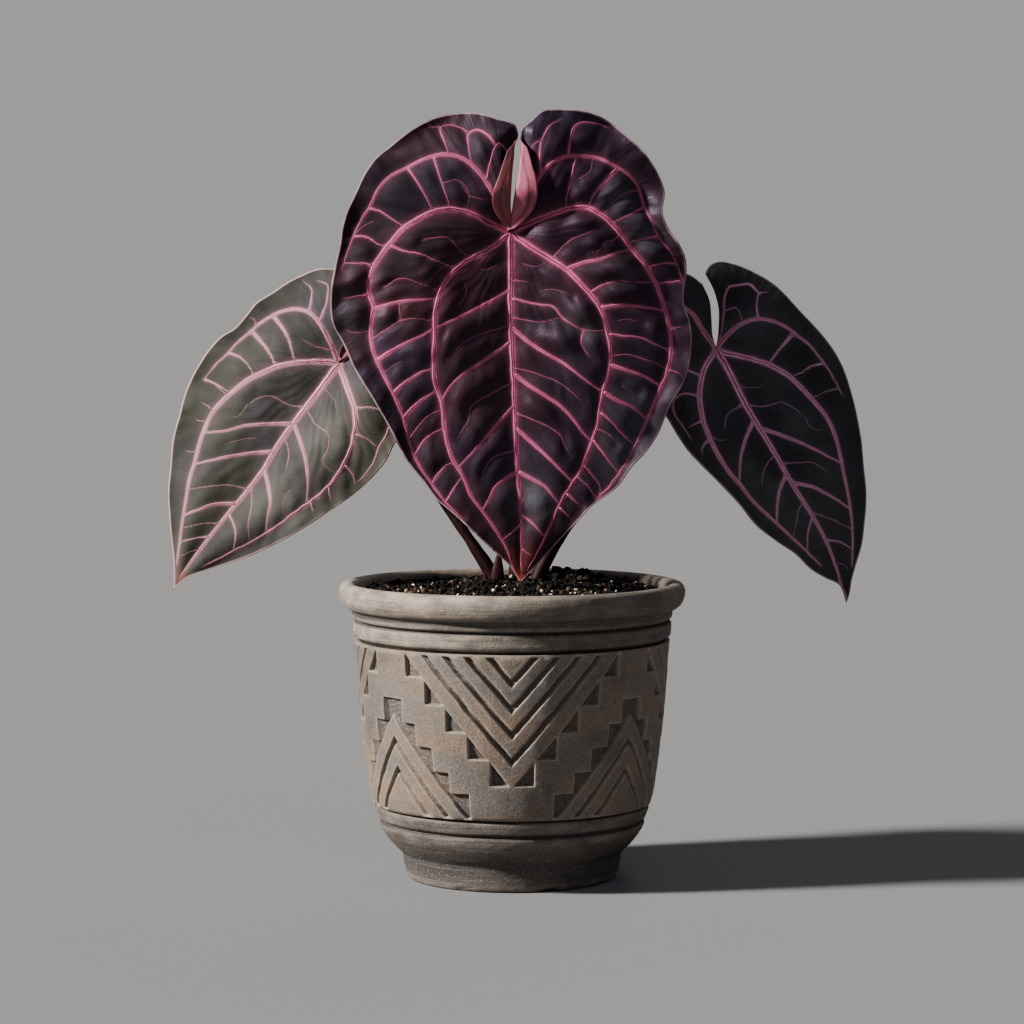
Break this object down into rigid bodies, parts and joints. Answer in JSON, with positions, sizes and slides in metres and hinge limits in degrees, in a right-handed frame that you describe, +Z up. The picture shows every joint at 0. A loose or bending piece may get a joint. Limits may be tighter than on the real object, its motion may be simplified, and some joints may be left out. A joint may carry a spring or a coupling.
{
  "type": "potted anthurium",
  "caption": "Young crystallinum anthurium with heart-shaped veined blades on slender stalks, growing in a fired-clay pot with a rolled rim and a carved frieze of chevrons and steps.",
  "frame": {"origin": "centre of the flat underside of the pot's foot", "axes": "+Z up along the pot's axis; -Y towards the front, which the large blade faces; +X to the viewer's right"},
  "size_m": [0.3275, 0.1604, 0.3539],
  "materials": {
    "fired_clay": "unglazed fired clay, brown-grey, rough",
    "potting_mix": "damp bark and peat mix, matt",
    "maroon_stem": "living stalk, dark maroon, satin",
    "centre_blade": "living leaf, purple-black with pink veins, satin",
    "left_blade": "living leaf, grey-olive with pale pink veins, satin",
    "right_blade": "living leaf, near-black green with mauve veins, satin"
  },
  "bodies": {
    "root": {"pot": "fired_clay", "potting_mix": "potting_mix", "crown": "maroon_stem", "petiole_centre": "maroon_stem", "petiole_left": "maroon_stem", "petiole_right": "maroon_stem", "leaf_centre": "centre_blade", "leaf_left": "left_blade", "leaf_right": "right_blade"}
  },
  "joints": []
}
